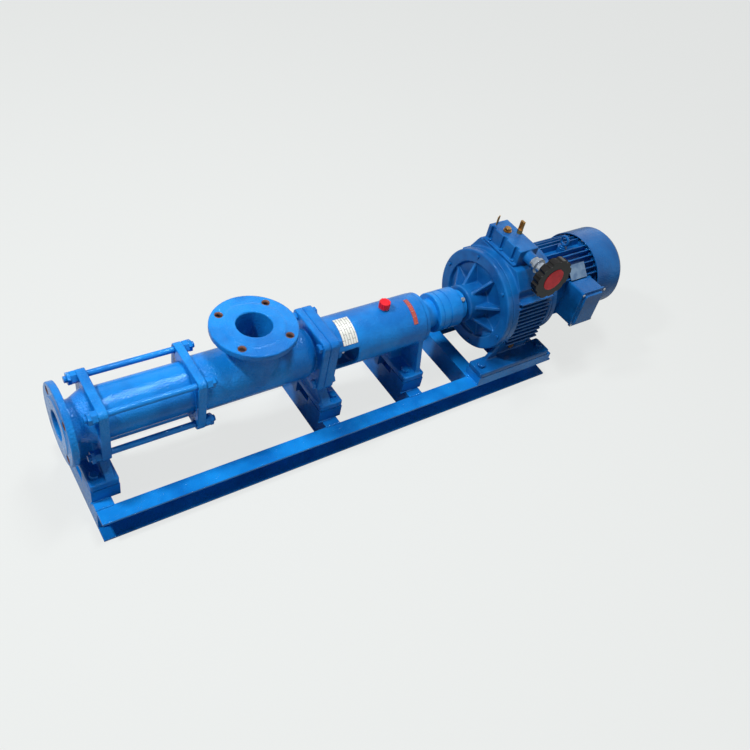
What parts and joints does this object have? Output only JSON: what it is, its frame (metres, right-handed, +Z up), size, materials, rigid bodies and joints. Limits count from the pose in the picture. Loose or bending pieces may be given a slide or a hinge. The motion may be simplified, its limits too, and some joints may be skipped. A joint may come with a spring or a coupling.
{
  "type": "progressive cavity pump",
  "caption": "Single-screw progressive cavity pump with flanged ports, coupled to a stepless variator and finned motor on a welded channel base.",
  "frame": {"origin": "centre of the discharge flange's face, on the pump axis", "axes": "+X along the shaft line towards the motor, +Z up, -Y towards the handwheel side"},
  "size_m": [1.55, 0.302, 0.4546],
  "materials": {
    "pump_enamel": "gloss blue enamel",
    "drive_enamel": "blue machine enamel",
    "rubber": "matt",
    "steel": "machined",
    "brass": "turned",
    "dark_plastic": "matt",
    "black_plastic": "gloss",
    "chrome": "bright",
    "red_plastic": "gloss",
    "label_plate": "satin",
    "warning_plate": "satin"
  },
  "bodies": {
    "frame": {"base_rails": "pump_enamel", "bearing_bracket": "pump_enamel", "bearing_cover": "pump_enamel", "bearing_outer_rings": "steel", "box_fittings": "brass", "box_screws": "drive_enamel", "bracket_bolts": "pump_enamel", "bracket_label": "label_plate", "cable_gland": "dark_plastic", "control_box": "drive_enamel", "cover_screws": "steel", "cross_members": "pump_enamel", "discharge_body": "pump_enamel", "drain_plug": "brass", "drive_bed": "drive_enamel", "eyebolt": "drive_enamel", "fan_cowl": "drive_enamel", "foot_bolts": "pump_enamel", "gland_follower": "pump_enamel", "gland_packing": "dark_plastic", "gland_studs": "steel", "motor_flange": "drive_enamel", "motor_flange_bolts": "drive_enamel", "motor_frame": "drive_enamel", "motor_nameplate": "label_plate", "motor_rear_shield": "drive_enamel", "oil_filler_cap": "red_plastic", "shaft_seal": "rubber", "stator_lining": "rubber", "stator_tube": "pump_enamel", "suction_body": "pump_enamel", "support_pads": "pump_enamel", "terminal_box": "drive_enamel", "terminal_lid": "drive_enamel", "terminal_lid_screws": "steel", "tie_rod_nuts": "pump_enamel", "tie_rods": "pump_enamel", "variator_cover": "drive_enamel", "variator_cover_screws": "drive_enamel", "variator_foot_bolts": "drive_enamel", "variator_housing": "drive_enamel", "warning_strip": "warning_plate"},
    "drive_line": {"drive_shaft": "steel", "shaft_joint_pin": "steel", "bearing_inner_rings": "steel", "coupling_pump_half": "pump_enamel", "coupling_spider": "rubber", "coupling_drive_half": "pump_enamel", "coupling_screws": "pump_enamel", "output_shaft": "steel"},
    "orbit_carrier": {"joint_boot": "rubber"},
    "rotor": {"rotor": "steel", "rotor_joint_pin": "steel"},
    "connecting_rod": {"connecting_rod": "steel"},
    "motor_rotor": {"motor_shaft": "steel", "cooling_fan": "dark_plastic"},
    "handwheel": {"handwheel": "black_plastic", "handwheel_cap": "red_plastic", "handwheel_hub": "chrome", "control_screw": "steel"}
  },
  "joints": [
    {"name": "shaft_spin", "type": "hinge", "parent": "frame", "child": "drive_line", "pos_m": [0.883, 0, 0], "axis": [1, 0, 0], "continuous": true},
    {"name": "rotor_orbit", "type": "hinge", "parent": "frame", "child": "orbit_carrier", "pos_m": [0.326, 0, 0], "axis": [1, 0, 0], "continuous": true},
    {"name": "rotor_spin", "type": "hinge", "parent": "orbit_carrier", "child": "rotor", "pos_m": [0.326, 0, 0.006], "axis": [1, 0, 0], "continuous": true},
    {"name": "rod_spin", "type": "hinge", "parent": "orbit_carrier", "child": "connecting_rod", "pos_m": [0.326, 0, 0.006], "axis": [0.9996, 0, -0.0273], "continuous": true},
    {"name": "motor_spin", "type": "hinge", "parent": "frame", "child": "motor_rotor", "pos_m": [1.446, 0, 0], "axis": [1, 0, 0], "continuous": true},
    {"name": "handwheel_turn", "type": "hinge", "parent": "frame", "child": "handwheel", "pos_m": [1.166, -0.1, 0.163], "axis": [0, -1, 0], "range_deg": [-990, 990]}
  ],
  "couplings": [
    {"joint": "rotor_orbit", "follows": "shaft_spin", "ratio": -1},
    {"joint": "rotor_spin", "follows": "shaft_spin", "ratio": 2},
    {"joint": "rod_spin", "follows": "shaft_spin", "ratio": 2},
    {"joint": "motor_spin", "follows": "shaft_spin", "ratio": 2.8}
  ]
}
